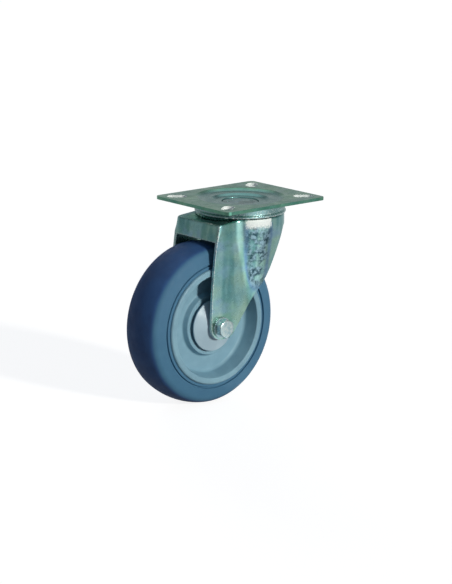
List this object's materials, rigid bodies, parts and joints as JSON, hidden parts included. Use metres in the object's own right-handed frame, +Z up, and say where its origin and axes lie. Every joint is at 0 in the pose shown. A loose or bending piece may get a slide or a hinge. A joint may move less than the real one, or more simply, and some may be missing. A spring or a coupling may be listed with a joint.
{
  "type": "swivel castor",
  "caption": "Swivel castor with a slotted top plate, a pressed zinc plated fork and a blue-grey rubber tyred wheel on a moulded core, for trolleys and furniture.",
  "frame": {"origin": "the middle of the plate's top face, on the swivel axis", "axes": "+Z up out of the plate's top face; +X the way the castor rolls, so the wheel trails towards -X; +Y along the axle, from the bolt's head to its nut"},
  "size_m": [0.1525, 0.085, 0.155],
  "materials": {
    "plate_zinc": "pressed steel, zinc plated and passivated",
    "fork_zinc": "pressed steel, zinc plated and passivated",
    "pin_steel": "turned steel, zinc plated",
    "race_steel": "hardened and ground steel",
    "bolt_zinc": "cold formed steel, bright zinc plated",
    "sleeve_steel": "drawn steel tube",
    "tyre_rubber": "moulded blue-grey rubber",
    "core_plastic": "moulded blue-grey polypropylene",
    "guard_plastic": "moulded pale grey polypropylene",
    "seal_rubber": "moulded black rubber",
    "insert_plastic": "moulded polyamide"
  },
  "bodies": {
    "mounting": {"top_plate": "plate_zinc", "dust_ring": "plate_zinc", "king_pin": "pin_steel", "spacer_bush": "pin_steel", "lower_race_cup": "fork_zinc"},
    "upper_ball_set": {"upper_balls": "race_steel"},
    "lower_ball_set": {"lower_balls": "race_steel"},
    "fork": {"fork": "fork_zinc", "axle_bolt": "bolt_zinc", "axle_washers": "bolt_zinc", "lock_nut": "bolt_zinc", "nut_insert": "insert_plastic", "axle_sleeve": "sleeve_steel", "thread_guard_left": "guard_plastic", "thread_guard_right": "guard_plastic", "inner_ring_left": "race_steel", "inner_ring_right": "race_steel"},
    "wheel": {"wheel_core": "core_plastic", "tyre": "tyre_rubber", "outer_ring_left": "race_steel", "outer_ring_right": "race_steel", "bearing_seals": "seal_rubber"},
    "hub_ball_sets": {"hub_balls_left": "race_steel", "hub_balls_right": "race_steel"}
  },
  "joints": [
    {"name": "swivel", "type": "hinge", "parent": "mounting", "child": "fork", "pos_m": [0, 0, 0], "axis": [0, 0, 1], "continuous": true},
    {"name": "wheel_spin", "type": "hinge", "parent": "fork", "child": "wheel", "pos_m": [-0.04, 0, -0.0925], "axis": [0, 1, 0], "continuous": true},
    {"name": "upper_ball_orbit", "type": "hinge", "parent": "mounting", "child": "upper_ball_set", "pos_m": [0, 0, 0], "axis": [0, 0, 1], "continuous": true},
    {"name": "lower_ball_orbit", "type": "hinge", "parent": "mounting", "child": "lower_ball_set", "pos_m": [0, 0, 0], "axis": [0, 0, 1], "continuous": true},
    {"name": "hub_ball_orbit", "type": "hinge", "parent": "fork", "child": "hub_ball_sets", "pos_m": [-0.04, 0, -0.0925], "axis": [0, 1, 0], "continuous": true}
  ],
  "couplings": [
    {"joint": "upper_ball_orbit", "follows": "swivel", "ratio": 0.5},
    {"joint": "lower_ball_orbit", "follows": "swivel", "ratio": 0.5},
    {"joint": "hub_ball_orbit", "follows": "wheel_spin", "ratio": 0.6187}
  ]
}
